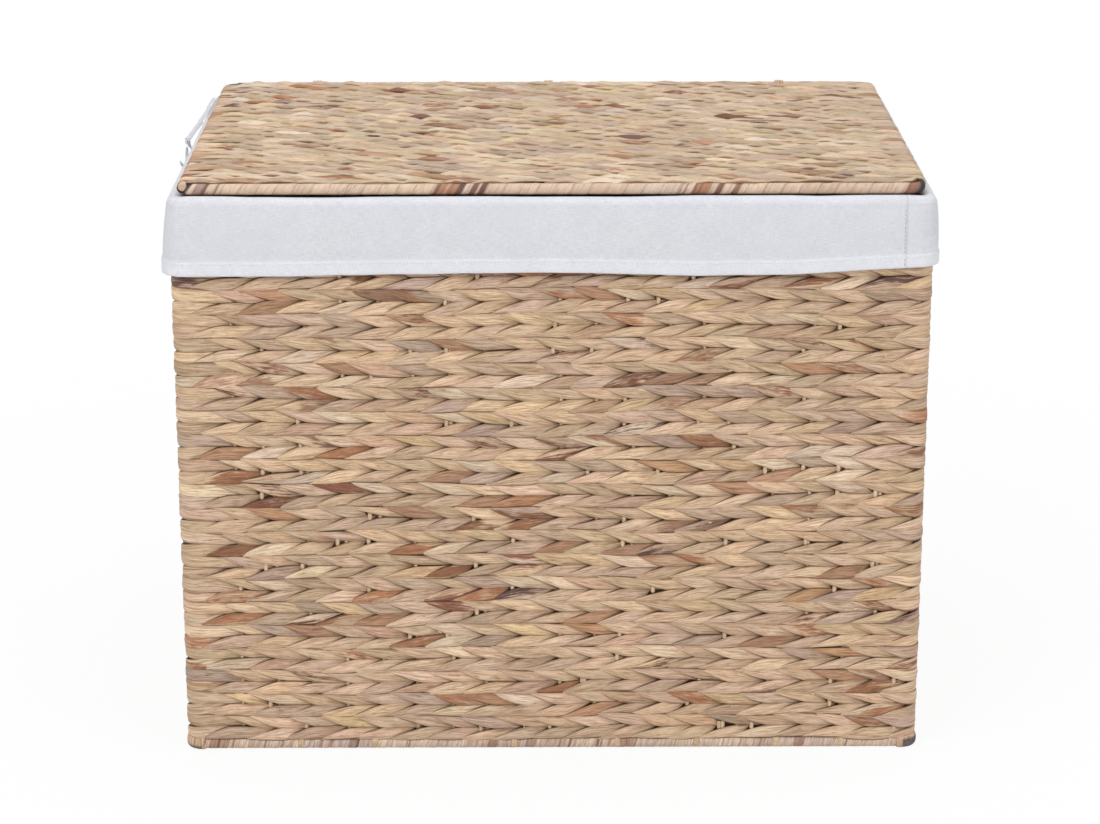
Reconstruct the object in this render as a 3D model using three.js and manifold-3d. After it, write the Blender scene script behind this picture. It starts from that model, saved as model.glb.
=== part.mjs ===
// Woven laundry basket: twined strand walls on a steel rod frame, a hinged woven lid and a cotton liner.
// Millimetres, +Z up. The origin is on the floor under the basket's middle, +X is its right, -Y its front.
import * as THREE from 'three';
import { mergeVertices } from 'three/addons/utils/BufferGeometryUtils.js';
import Module from 'manifold-3d';

const wasm = await Module();
wasm.setup();

// Body and its weave
const bodyWidth = 662;
const bodyDepth = 460;
const topRingHeight = 504; // floor to the middle of the top ring
const wallThickness = 12;
const baseThickness = 9.2;
const rowPairPitch = 22.5; // two twined rows
const rowRelief = 1.5; // depth of the groove between two rows
const baseRowRelief = 1.2;
const rowSlope = 0.2; // share of a row's height over which it falls off to the groove on each side

// Steel frame and the strands bound round it
const rodDiameter = 7;
const postDiameter = 7;
const crossRodDiameter = 5;
const crossRodSpacing = 220;
const bindingDiameter = 11.2;
const bareCorner = 0.5; // steel left bare between the end of a binding and the bend beside it

// Cotton liner
const clothThickness = 1.4;
const clothSlack = 0.5; // between the cloth and the wall that it lies on
const insideCornerRadius = 1; // of the cloth inside the basket
const cuffInside = 24; // from the middle of the top ring down to the seam inside the basket
const cuffDrop = 57; // from the middle of the top ring down to the edge of the hem
const cuffFlare = 3.3; // how much further out than at the rim the cuff hangs
const cuffFlareDepth = 30;
const hemHeight = 11;
const hemThickness = 2.8;
const hemWave = 2.5; // the hem's edge rises and falls this much
const hemWaveCount = 5;

// Lid and the loops that it turns in
const lidSideInset = 7; // of the lid from the body's sides
const lidFrontInset = 6.4; // of the lid from the body's front
const lidThickness = 12;
const lidBendRadius = 8;
const lidRestGap = 0.6; // between the cuff and the lid
const loopWidth = 9;
const loopThickness = 1.2;
const loopInset = 101; // from the body's side to the middle of the loop beside it
const runningClearance = 0.4; // between a loop and the lid that turns in it

// Tie at the left of the cuff, from the middle of the top ring's rear left corner
const tapeDiameter = 4.5;
const knotRadius = 5.2;
const tapeRoute = [
  [-6.5, -28, 8.4], [-6.8, -39, 8.3], [-7.2, -52, 8.1], [-7.1, -66, 8], [-7, -80, 7.9],
  [-7.6, -105, 7.6], [-9.6, -123, 6.6], [-8.2, -133, 7], [-10.4, -155, 6.2], [-12.8, -178, 4.4],
  [-13.7, -192.2, 3.6],
];
const knotCentre = [-14, -198.5, 3.4];
const frontTailRoute = [
  [-14.6, -200.5, -2.2], [-14.8, -202, -8], [-14.4, -204.5, -14], [-14.6, -210, -17.2],
  [-15.6, -218, -16.6], [-17, -225, -13.6], [-17.9, -230, -10.6],
];
const rearTailRoute = [
  [-13.8, -194.7, -0.8], [-12.7, -187, -4.6], [-12.6, -180, -14], [-13.8, -176, -26], [-14.4, -174, -38],
];

// Fits and facets
const clearance = 0.3; // between pieces that touch
const roundSides = 12; // of rods and bindings
const tapeSides = 8;
const tapeSteps = 14;
const bendSteps = 4; // of a quarter turn
const rimSteps = 6; // of the half turn of cloth over the rim
const rowEndSteps = 4; // of a row's half turn round a side rod of the lid
const loopSteps = 8; // of a loop's half turn
const clothSpan = 120; // longest stretch of cuff between two sections
const weldDistance = 1e-4;

// Sizes that follow from those above
const rodRadius = rodDiameter / 2;
const postRadius = postDiameter / 2;
const crossRodRadius = crossRodDiameter / 2;
const bindingRadius = bindingDiameter / 2;
const ringHalfWidth = (bodyWidth - wallThickness) / 2;
const ringHalfDepth = (bodyDepth - wallThickness) / 2;
const clothReach = wallThickness / 2 + clothSlack; // from the middle of the wall to the cloth
const bodyBendRadius = clothReach + clothThickness + insideCornerRadius;
const baseRingHeight = bindingRadius;
const wallBottom = baseRingHeight + bindingRadius + clearance;
const wallTop = topRingHeight - bindingRadius - clearance;
const lidHeight = topRingHeight + clothReach + clothThickness + lidRestGap + lidThickness / 2;
const lidHalfWidth = bodyWidth / 2 - lidSideInset - lidThickness / 2; // to the middle of the side rods
const hingeY = ringHalfDepth;
const lidRodSpacing = hingeY + bodyDepth / 2 - lidFrontInset - bindingRadius; // front rod to rear rod
const bindingCornerRadius = bindingRadius / Math.cos(Math.PI / roundSides);
const loopInnerRadius = bindingCornerRadius + runningClearance;
const loopOuterRadius = loopInnerRadius + loopThickness;
const loopPlace = bodyWidth / 2 - loopInset;
const loopCentres = [-loopPlace, 0, loopPlace];
const crossRodCentres = [-crossRodSpacing / 2, crossRodSpacing / 2];

const X = new THREE.Vector3(1, 0, 0);
const Y = new THREE.Vector3(0, 1, 0);
const Z = new THREE.Vector3(0, 0, 1);
const alongX = new THREE.Matrix4().makeBasis(Y, Z, X);
const alongY = new THREE.Matrix4().makeBasis(X.clone().negate(), Z, Y);

// Materials
const finish = (color, roughness, metalness = 0) => () =>
  new THREE.MeshStandardMaterial({ color, roughness, metalness });
const strand = finish(0xc2a585, 0.75);
const boundStrand = finish(0xb9987c, 0.7);
const lashing = finish(0xb48f60, 0.7);
const steel = finish(0x4b4946, 0.5, 0.8);
const cotton = finish(0xe2e3e5, 0.95);

// A regular outline whose flat sides, one of them underneath, lie at the given radius
function roundOutline(radius, sides = roundSides) {
  const corner = radius / Math.cos(Math.PI / sides);
  return Array.from({ length: sides }, (_, i) => {
    const angle = ((2 * i + 1) * Math.PI) / sides;
    return new THREE.Vector2(corner * Math.cos(angle), corner * Math.sin(angle));
  });
}

function prism(outline, length, holes = []) {
  const shape = new THREE.Shape(outline);
  shape.holes = holes.map((hole) => new THREE.Path(hole));
  return new THREE.ExtrudeGeometry(shape, { depth: length, bevelEnabled: false });
}

// Joins sections that each run anticlockwise as seen looking along the loft
function loft(sections, closed) {
  const count = sections[0].length;
  const triangles = [];
  const last = closed ? sections.length : sections.length - 1;
  for (let s = 0; s < last; s++) {
    const here = s * count;
    const next = ((s + 1) % sections.length) * count;
    for (let i = 0; i < count; i++) {
      const j = (i + 1) % count;
      triangles.push(here + i, next + i, here + j, here + j, next + i, next + j);
    }
  }
  if (!closed) {
    const end = (sections.length - 1) * count;
    for (let i = 1; i < count - 1; i++) {
      triangles.push(0, i, i + 1, end, end + i + 1, end + i);
    }
  }
  const geometry = new THREE.BufferGeometry().setFromPoints(sections.flat());
  geometry.setIndex(triangles);
  geometry.computeVertexNormals();
  return geometry;
}

function solid(geometry) {
  const bare = geometry.clone();
  bare.deleteAttribute('normal');
  bare.deleteAttribute('uv');
  const merged = mergeVertices(bare, weldDistance);
  const vertProperties = new Float32Array(merged.attributes.position.array);
  const triVerts = new Uint32Array(merged.index.array);
  return new wasm.Manifold(new wasm.Mesh({ numProp: 3, vertProperties, triVerts }));
}

function geometryOf(manifold) {
  const mesh = manifold.getMesh();
  const geometry = new THREE.BufferGeometry();
  geometry.setAttribute('position', new THREE.BufferAttribute(mesh.vertProperties, 3));
  geometry.setIndex(new THREE.BufferAttribute(mesh.triVerts, 1));
  geometry.computeVertexNormals();
  return geometry;
}

const cutAway = (geometry, tools) =>
  geometryOf(tools.reduce((left, tool) => left.subtract(solid(tool)), solid(geometry)));

function add(group, name, geometry, material, position = [0, 0, 0]) {
  const mesh = new THREE.Mesh(geometry, material());
  mesh.name = name;
  mesh.position.set(...position);
  group.add(mesh);
}

// Points and outward directions round a rectangle with bent corners, from its front right, anticlockwise
function bentLoop(halfWidth, halfDepth, radius, span = Infinity) {
  const stations = [];
  const corners = [[1, -1], [1, 1], [-1, 1], [-1, -1]];
  corners.forEach(([sideX, sideY], corner) => {
    const centre = new THREE.Vector2(sideX * (halfWidth - radius), sideY * (halfDepth - radius));
    for (let i = 0; i <= bendSteps; i++) {
      const angle = (corner - 1 + i / bendSteps) * (Math.PI / 2);
      const out = new THREE.Vector2(Math.cos(angle), Math.sin(angle));
      stations.push({ at: centre.clone().addScaledVector(out, radius), out });
    }
    const { at, out } = stations.at(-1);
    const run = 2 * ((corner % 2 ? halfWidth : halfDepth) - radius);
    const steps = Math.ceil(run / span);
    const ahead = new THREE.Vector2(-out.y, out.x);
    for (let i = 1; i < steps; i++) {
      stations.push({ at: at.clone().addScaledVector(ahead, (run * i) / steps), out });
    }
  });
  return stations;
}

// Carries a profile of [outward, up] points round a loop of stations
const sweep = (stations, profileAt) =>
  loft(
    stations.map(({ at, out }, i) =>
      profileAt(i / stations.length).map(
        ([reach, height]) => new THREE.Vector3(at.x + out.x * reach, at.y + out.y * reach, height),
      ),
    ),
    true,
  );

function rodRing(halfWidth, halfDepth, bendRadius, radius) {
  const profile = roundOutline(radius).map((point) => point.toArray());
  return sweep(bentLoop(halfWidth, halfDepth, bendRadius), () => profile);
}

function binding(length) {
  const bore = roundOutline(rodRadius + clearance);
  return prism(roundOutline(bindingRadius), length, [bore]).translate(0, 0, -length / 2);
}

// A rod from the front to the rear of a ring, or the room for it
const crossRod = (spacing, margin) =>
  prism(roundOutline(crossRodRadius + margin), spacing - rodDiameter - 2 * clearance)
    .translate(0, 0, rodRadius + clearance - spacing / 2)
    .applyMatrix4(alongY);
const crossRods = (spacing, margin) =>
  crossRodCentres.map((x) => crossRod(spacing, margin).translate(x, 0, 0));

// Grooves and shoulders of twined rows between two places, as [place, depth below the rows' crests]
function rowRibs(first, last, relief) {
  const rows = 2 * Math.max(1, Math.round((last - first) / rowPairPitch));
  const step = (last - first) / rows;
  const ribs = [[first, relief]];
  for (let row = 0; row < rows; row++) {
    const start = first + row * step;
    ribs.push([start + rowSlope * step, 0]);
    ribs.push([start + (1 - rowSlope) * step, 0]);
    ribs.push([start + step, relief]);
  }
  return ribs;
}

// Ribbed wall between two heights, as [outward, up] points with a straight inner face
function wallProfile() {
  const crest = wallThickness / 2;
  const rows = rowRibs(wallBottom, wallTop, rowRelief);
  return [[-crest, wallBottom], ...rows.map(([height, depth]) => [crest - depth, height]), [-crest, wallTop]];
}

// Ribbed flat weave in layers from front to rear
const flatWeave = (front, rear, relief, sectionAt) =>
  loft(
    rowRibs(front, rear, relief).map(([y, depth]) =>
      sectionAt(depth).map(([x, z]) => new THREE.Vector3(x, y, z)),
    ),
    false,
  );

const basket = new THREE.Group();

// Steel frame of the body
const bodyRing = (radius) => rodRing(ringHalfWidth, ringHalfDepth, bodyBendRadius, radius);
add(basket, 'base_ring', bodyRing(rodRadius), steel, [0, 0, baseRingHeight]);
add(basket, 'top_ring', bodyRing(rodRadius), steel, [0, 0, topRingHeight]);

const postInset = bodyBendRadius * (1 - Math.SQRT1_2);
const postBottom = baseRingHeight + rodRadius + clearance;
const postLength = topRingHeight - rodRadius - clearance - postBottom;
const postRooms = [];
for (const [sideY, endName] of [[-1, 'front'], [1, 'rear']]) {
  for (const [sideX, sideName] of [[-1, 'left'], [1, 'right']]) {
    const place = [sideX * (ringHalfWidth - postInset), sideY * (ringHalfDepth - postInset), postBottom];
    const room = prism(roundOutline(postRadius + clearance), postLength + 2 * clearance);
    postRooms.push(room.translate(place[0], place[1], place[2] - clearance));
    const post = prism(roundOutline(postRadius), postLength);
    add(basket, `corner_post_${endName}_${sideName}`, post, steel, place);
  }
}
const bodyCrossRoom = crossRods(2 * ringHalfDepth, clearance);
crossRods(2 * ringHalfDepth, 0).forEach((rod, i) => {
  add(basket, `base_cross_rod_${i ? 'right' : 'left'}`, rod, steel, [0, 0, baseRingHeight]);
});

// Strands bound round the straight runs of the base ring and the top ring
const longBinding = 2 * (ringHalfWidth - bodyBendRadius - bareCorner);
const shortBinding = 2 * (ringHalfDepth - bodyBendRadius - bareCorner);
const boundRings = [
  ['base', baseRingHeight, bodyCrossRoom],
  ['top', topRingHeight, []],
];
for (const [ringName, height, room] of boundRings) {
  for (const [side, endName] of [[-1, 'front'], [1, 'rear']]) {
    const sleeve = binding(longBinding).applyMatrix4(alongX).translate(0, side * ringHalfDepth, 0);
    add(basket, `${ringName}_binding_${endName}`, cutAway(sleeve, room), boundStrand, [0, 0, height]);
  }
  for (const [side, sideName] of [[-1, 'left'], [1, 'right']]) {
    const sleeve = binding(shortBinding).applyMatrix4(alongY);
    add(basket, `${ringName}_binding_${sideName}`, sleeve, boundStrand, [side * ringHalfWidth, 0, height]);
  }
}

// Twined walls, parted on the diagonals of the corner posts
const wallOutline = wallProfile();
const wallRing = sweep(bentLoop(ringHalfWidth, ringHalfDepth, bodyBendRadius), () => wallOutline);
const wovenTube = postRooms.reduce((left, room) => left.subtract(solid(room)), solid(wallRing));

function wallWedge(halfLength, halfAcross, turn) {
  const corner = halfLength - clearance * Math.SQRT1_2;
  const outline = [
    new THREE.Vector2(-corner - wallThickness, -halfAcross - wallThickness),
    new THREE.Vector2(corner + wallThickness, -halfAcross - wallThickness),
    new THREE.Vector2(corner - wallThickness, -halfAcross + wallThickness),
    new THREE.Vector2(-corner + wallThickness, -halfAcross + wallThickness),
  ];
  return solid(prism(outline, topRingHeight).rotateZ(turn));
}

// Room in the rear wall, the lid and the cuff for the hinge loops
const loopRoomWidth = loopWidth + 2 * runningClearance;
const loopLowest = topRingHeight - loopOuterRadius - clearance;
const loopSlots = loopCentres.map((x) =>
  new THREE.BoxGeometry(loopRoomWidth, 4 * loopOuterRadius, lidHeight - loopLowest).translate(
    x,
    hingeY,
    (lidHeight + loopLowest) / 2,
  ),
);

const walls = [
  ['front_panel', ringHalfWidth, ringHalfDepth, 0, []],
  ['right_panel', ringHalfDepth, ringHalfWidth, Math.PI / 2, []],
  ['rear_panel', ringHalfWidth, ringHalfDepth, Math.PI, loopSlots],
  ['left_panel', ringHalfDepth, ringHalfWidth, -Math.PI / 2, []],
];
for (const [name, halfLength, halfAcross, turn, slots] of walls) {
  const wall = wovenTube.intersect(wallWedge(halfLength, halfAcross, turn));
  add(basket, name, cutAway(geometryOf(wall), slots), strand);
}

// Twined base inside the base ring
const baseEdge = bindingRadius + clearance;
const baseSection = (depth) => {
  const x = ringHalfWidth - baseEdge;
  const z = baseThickness / 2 - depth;
  return [[-x, -z], [x, -z], [x, z], [-x, z]];
};
const baseWeave = flatWeave(baseEdge - ringHalfDepth, ringHalfDepth - baseEdge, baseRowRelief, baseSection);
const baseRoom = [bodyRing(rodRadius + clearance), ...bodyCrossRoom];
add(basket, 'base_panel', cutAway(baseWeave, baseRoom), strand, [0, 0, baseRingHeight]);

// Cotton bag inside the walls
function bentOutline(inset) {
  const radius = bodyBendRadius - inset;
  const stations = bentLoop(ringHalfWidth - inset, ringHalfDepth - inset, radius);
  return stations.map(({ at }) => at);
}
const bagBottom = baseRingHeight + baseThickness / 2 + clothSlack;
const bagHeight = topRingHeight - cuffInside - clearance - bagBottom;
const bagRoom = prism(bentOutline(clothReach + clothThickness), bagHeight).translate(0, 0, clothThickness);
const bag = cutAway(prism(bentOutline(clothReach), bagHeight), [bagRoom]);
add(basket, 'liner_bag', bag, cotton, [0, 0, bagBottom]);

// Points of an arc, as [across, up]
function arcPoints(radius, first, last, steps) {
  return Array.from({ length: steps + 1 }, (_, i) => {
    const angle = first + ((last - first) * i) / steps;
    return [radius * Math.cos(angle), radius * Math.sin(angle)];
  });
}

// Cuff of the liner, turned over the rim, with a doubled hem
function cuffProfile(turn) {
  const drop = cuffDrop + hemWave * Math.sin(2 * Math.PI * hemWaveCount * turn);
  const shown = clothReach + clothThickness;
  const hang = clothReach + cuffFlare;
  const hemTop = hemHeight - drop;
  return [
    [-shown, -cuffInside], [-clothReach, -cuffInside],
    ...arcPoints(clothReach, Math.PI, 0, rimSteps),
    [hang, -cuffFlareDepth], [hang, -drop],
    [hang + hemThickness, -drop], [hang + hemThickness, hemTop],
    [hang + clothThickness, hemTop + clothThickness], [hang + clothThickness, -cuffFlareDepth],
    ...arcPoints(shown, 0, Math.PI, rimSteps),
  ];
}
const cuffLoop = bentLoop(ringHalfWidth, ringHalfDepth, bodyBendRadius, clothSpan);
const cuff = sweep(cuffLoop, cuffProfile).translate(0, 0, topRingHeight);
add(basket, 'liner_cuff', cutAway(cuff, loopSlots), cotton);

// Cotton tie that lies along the left shoulder of the cuff
function tape(route) {
  const path = new THREE.CatmullRomCurve3(route.map((point) => new THREE.Vector3(...point)));
  const section = new THREE.Shape(roundOutline(tapeDiameter / 2, tapeSides));
  return new THREE.ExtrudeGeometry(section, { extrudePath: path, steps: tapeSteps });
}
const tieCorner = [-ringHalfWidth, ringHalfDepth, topRingHeight];
const knot = new THREE.IcosahedronGeometry(knotRadius, 1).translate(...knotCentre);
add(basket, 'left_tie_tape', tape(tapeRoute), cotton, tieCorner);
add(basket, 'left_tie_knot', knot, cotton, tieCorner);
add(basket, 'left_tie_tail_front', tape(frontTailRoute), cotton, tieCorner);
add(basket, 'left_tie_tail_rear', tape(rearTailRoute), cotton, tieCorner);

// Lashed loops that hold the lid's rear rod to the rear of the top ring
function loopOutline(radius) {
  const outline = new THREE.Path();
  outline.absarc(0, 0, radius, Math.PI, 2 * Math.PI, false);
  outline.absarc(0, lidHeight - topRingHeight, radius, 0, Math.PI, false);
  return outline.getPoints(loopSteps);
}
['left', 'middle', 'right'].forEach((place, i) => {
  const loop = prism(loopOutline(loopOuterRadius), loopWidth, [loopOutline(loopInnerRadius)]);
  loop.translate(0, 0, -loopWidth / 2).applyMatrix4(alongX);
  add(basket, `hinge_loop_${place}`, loop, lashing, [loopCentres[i], hingeY, topRingHeight]);
});

// Lid, from the axis of its rear rod
const lid = new THREE.Group();
lid.position.set(0, hingeY, lidHeight);
basket.add(lid);

const lidMiddle = -lidRodSpacing / 2;
const lidRing = (radius) =>
  rodRing(lidHalfWidth, lidRodSpacing / 2, lidBendRadius, radius).translate(0, lidMiddle, 0);
add(lid, 'lid_ring', lidRing(rodRadius), steel);
const lidCrossRoom = crossRods(lidRodSpacing, clearance).map((rod) => rod.translate(0, lidMiddle, 0));
crossRods(lidRodSpacing, 0).forEach((rod, i) => {
  add(lid, `lid_cross_rod_${i ? 'right' : 'left'}`, rod.translate(0, lidMiddle, 0), steel);
});
const lidBinding = 2 * (lidHalfWidth - lidBendRadius - bareCorner);
for (const [y, endName] of [[-lidRodSpacing, 'front'], [0, 'rear']]) {
  const sleeve = binding(lidBinding).applyMatrix4(alongX).translate(0, y, 0);
  add(lid, `lid_binding_${endName}`, cutAway(sleeve, lidCrossRoom), boundStrand);
}

// Twined lid, whose rows turn round the side rods
const lidSection = (depth) => {
  const radius = lidThickness / 2 - depth;
  const roundEnd = (x, first) =>
    arcPoints(radius, first, first + Math.PI, rowEndSteps).map(([across, z]) => [x + across, z]);
  return [...roundEnd(lidHalfWidth, -Math.PI / 2), ...roundEnd(-lidHalfWidth, Math.PI / 2)];
};
const lidEdge = bindingRadius + clearance;
const lidWeave = flatWeave(lidEdge - lidRodSpacing, -lidEdge, rowRelief, lidSection);
// Each loop stands in a slot that is open below, so that the lid can swing up off its legs
function loopSlot() {
  const radius = loopOuterRadius + runningClearance;
  const outline = new THREE.Path();
  outline.absarc(0, 0, radius, 0, Math.PI, false);
  outline.lineTo(-radius, -lidThickness);
  outline.lineTo(radius, -lidThickness);
  const slot = prism(outline.getPoints(loopSteps), loopRoomWidth);
  return slot.translate(0, 0, -loopRoomWidth / 2).applyMatrix4(alongX);
}
const lidSlots = loopCentres.map((x) => loopSlot().translate(x, 0, 0));
const lidRoom = [lidRing(rodRadius + clearance), ...lidCrossRoom, ...lidSlots];
add(lid, 'lid_panel', cutAway(lidWeave, lidRoom), strand);

export default basket;
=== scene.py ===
import math
from collections import namedtuple

import bpy
import numpy as np
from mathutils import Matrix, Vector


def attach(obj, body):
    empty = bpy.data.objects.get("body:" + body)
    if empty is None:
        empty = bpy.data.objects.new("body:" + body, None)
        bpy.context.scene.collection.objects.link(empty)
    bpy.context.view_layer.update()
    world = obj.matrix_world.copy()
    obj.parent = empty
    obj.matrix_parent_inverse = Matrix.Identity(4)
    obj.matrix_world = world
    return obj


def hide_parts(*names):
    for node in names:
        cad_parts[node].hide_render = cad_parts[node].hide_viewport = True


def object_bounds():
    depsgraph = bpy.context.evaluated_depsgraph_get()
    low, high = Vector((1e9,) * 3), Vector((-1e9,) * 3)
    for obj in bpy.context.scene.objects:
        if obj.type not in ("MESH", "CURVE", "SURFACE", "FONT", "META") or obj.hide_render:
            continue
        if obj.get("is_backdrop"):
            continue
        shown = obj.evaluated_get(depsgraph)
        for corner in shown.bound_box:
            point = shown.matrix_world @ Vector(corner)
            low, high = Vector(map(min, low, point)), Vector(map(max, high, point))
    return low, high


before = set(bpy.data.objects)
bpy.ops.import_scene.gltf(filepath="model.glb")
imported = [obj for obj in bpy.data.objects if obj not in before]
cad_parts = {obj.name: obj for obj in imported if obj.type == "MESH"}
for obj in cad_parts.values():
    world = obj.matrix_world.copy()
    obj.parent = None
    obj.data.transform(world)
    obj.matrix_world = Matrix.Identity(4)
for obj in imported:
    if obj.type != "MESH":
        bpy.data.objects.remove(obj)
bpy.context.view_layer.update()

scene = bpy.context.scene
scene.view_settings.view_transform = "Standard"
rng = np.random.default_rng(11)
uniform = rng.uniform

# Sizes of the frame, in millimetres
RING_X, RING_Y = 325.0, 224.0
BEND = 8.9
BASE_RING_Z, TOP_RING_Z = 5.6, 504.0
WALL_LOW, WALL_HIGH = 10.2, 498.1
HINGE_Y, LID_Z = 224.0, 518.5
LID_X, LID_SPAN, LID_BEND = 318.0, 442.0, 8.0
ROD_R, BINDING_R = 3.5, 5.6
LOOP_X = (-230.0, 0.0, 230.0)
LOOP_R, LID_LOOP_R, LOOP_HALF = 6.6, 5.8, 4.5
TIE_CORNER = np.array([-RING_X, RING_Y, TOP_RING_Z])
TAPE_WIDTH = 4.5
SIDES = ("front", "right", "rear", "left")
MM = 0.001
PLAIN = (1, 1, 1)

# Camera
camera = bpy.data.objects.new("camera", bpy.data.cameras.new("camera"))
scene.collection.objects.link(camera)
camera.data.sensor_width = 36
camera.data.lens = 100.2
camera.location = (-0.0213, -2.788, 1.120)
camera.rotation_euler = (math.radians(90 - 17.36), 0, math.radians(-0.436))
camera.data.clip_end = 50
scene.camera = camera


# Meshes
def grid(*parts):
    """Arrays spread to one shape and set side by side along a new last axis."""
    return np.stack(np.broadcast_arrays(*parts), -1)


def unit(vectors):
    return vectors / np.linalg.norm(vectors, axis=1)[:, None]


def run_along(path):
    """Distance along a path at each of its points."""
    return np.r_[0, np.cumsum(np.linalg.norm(np.diff(path, axis=0), axis=1))]


def bell(distance, width):
    return np.exp(-(distance / width) ** 2)


class Builder:
    """Collects vertices in millimetres, faces and per-vertex attributes for one mesh."""

    def __init__(self):
        self.points, self.tints, self.stains, self.fibres = [], [], [], []
        self.corners, self.sizes, self.slots = [], [], []
        self.count = 0

    def add(self, points, faces, tint=PLAIN, fibre=None, slot=0, stain=(0, 0, 0, 0)):
        points = np.asarray(points, float).reshape(-1, 3)
        self.points.append(points)
        self.tints.append(np.broadcast_to(np.asarray(tint, float), points.shape))
        self.stains.append(np.broadcast_to(np.asarray(stain, float), (len(points), 4)))
        self.fibres.append(points if fibre is None else np.asarray(fibre, float).reshape(-1, 3))
        for group in faces:
            group = np.asarray(group)
            self.corners.append(group.ravel() + self.count)
            self.sizes.append(np.full(len(group), group.shape[1]))
            self.slots.append(np.full(len(group), slot))
        self.count += len(points)

    def mesh(self, name, materials):
        used, corners = np.unique(np.concatenate(self.corners), return_inverse=True)
        sizes = np.concatenate(self.sizes)
        mesh = bpy.data.meshes.new(name)
        mesh.vertices.add(len(used))
        mesh.vertices.foreach_set("co", np.concatenate(self.points)[used].astype(np.float32).ravel() * MM)
        mesh.loops.add(len(corners))
        mesh.loops.foreach_set("vertex_index", corners.astype(np.int32).ravel())
        mesh.polygons.add(len(sizes))
        mesh.polygons.foreach_set("loop_start", (np.cumsum(sizes) - sizes).astype(np.int32))
        for material in materials:
            mesh.materials.append(material)
        mesh.polygons.foreach_set("material_index", np.concatenate(self.slots).astype(np.int32))
        mesh.polygons.foreach_set("use_smooth", np.ones(len(sizes), bool))
        mesh.update(calc_edges=True)
        tints = np.column_stack([np.concatenate(self.tints)[used], np.ones(len(used))])
        for kind, colours in (("tint", tints), ("stain", np.concatenate(self.stains)[used])):
            attribute = mesh.attributes.new(kind, "FLOAT_COLOR", "POINT")
            attribute.data.foreach_set("color", colours.astype(np.float32).ravel())
        fibre = mesh.attributes.new("fibre", "FLOAT_VECTOR", "POINT")
        fibre.data.foreach_set("vector", np.concatenate(self.fibres)[used].astype(np.float32).ravel())
        return mesh

    def piece(self, name, body, slot, materials, replaces=()):
        obj = bpy.data.objects.new(name, self.mesh(name, materials))
        scene.collection.objects.link(obj)
        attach(obj, body)
        for node in replaces:
            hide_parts(node)
        return obj


def ring_faces(rings, sides, closed=False):
    """Faces between rings of points that run clockwise as seen along the sweep, and two end faces."""
    k = np.arange(rings if closed else rings - 1)[:, None]
    j = np.arange(sides)[None, :]
    a, b = k * sides, ((k + 1) % rings) * sides
    n = (j + 1) % sides
    quads = np.stack([a + j, b + j, b + n, a + n], -1).reshape(-1, 4)
    if closed:
        return [quads]
    last = (rings - 1) * sides
    return [quads, [np.arange(sides)], [last + np.arange(sides)[::-1]]]


def shell_faces(kept):
    """Faces of a thick sheet from the cells of a grid that closes on itself along its first axis."""
    rows, cells = kept.shape
    index = np.arange(rows * (cells + 1)).reshape(rows, cells + 1)
    ahead = np.roll(index, -1, 0)
    corner = np.stack([index[:, :-1], ahead[:, :-1], ahead[:, 1:], index[:, 1:]], -1)
    inner = index.size
    faces = [corner[kept], corner[kept][:, ::-1] + inner]
    wide = np.pad(kept, ((0, 0), (1, 1)))
    beyond = (wide[:, :-2], np.roll(kept, -1, 0), wide[:, 2:], np.roll(kept, 1, 0))
    for edge in range(4):
        rim = kept & ~beyond[edge]
        a, b = corner[..., edge][rim], corner[..., (edge + 1) % 4][rim]
        faces.append(np.stack([b, a, a + inner, b + inner], -1))
    return faces


# Materials
def feed(tree, socket, value):
    """Links an input to another node's output, or sets its value."""
    if isinstance(value, bpy.types.NodeSocket):
        tree.links.new(value, socket)
    else:
        socket.default_value = value


def add_node(tree, kind, output, inputs, **settings):
    """Adds a shader node with these inputs and settings, and returns one of its outputs."""
    node = tree.nodes.new("ShaderNode" + kind)
    for name, value in settings.items():
        setattr(node, name, value)
    for socket, value in inputs.items():
        feed(tree, node.inputs[socket], value)
    return node.outputs[output]


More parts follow.
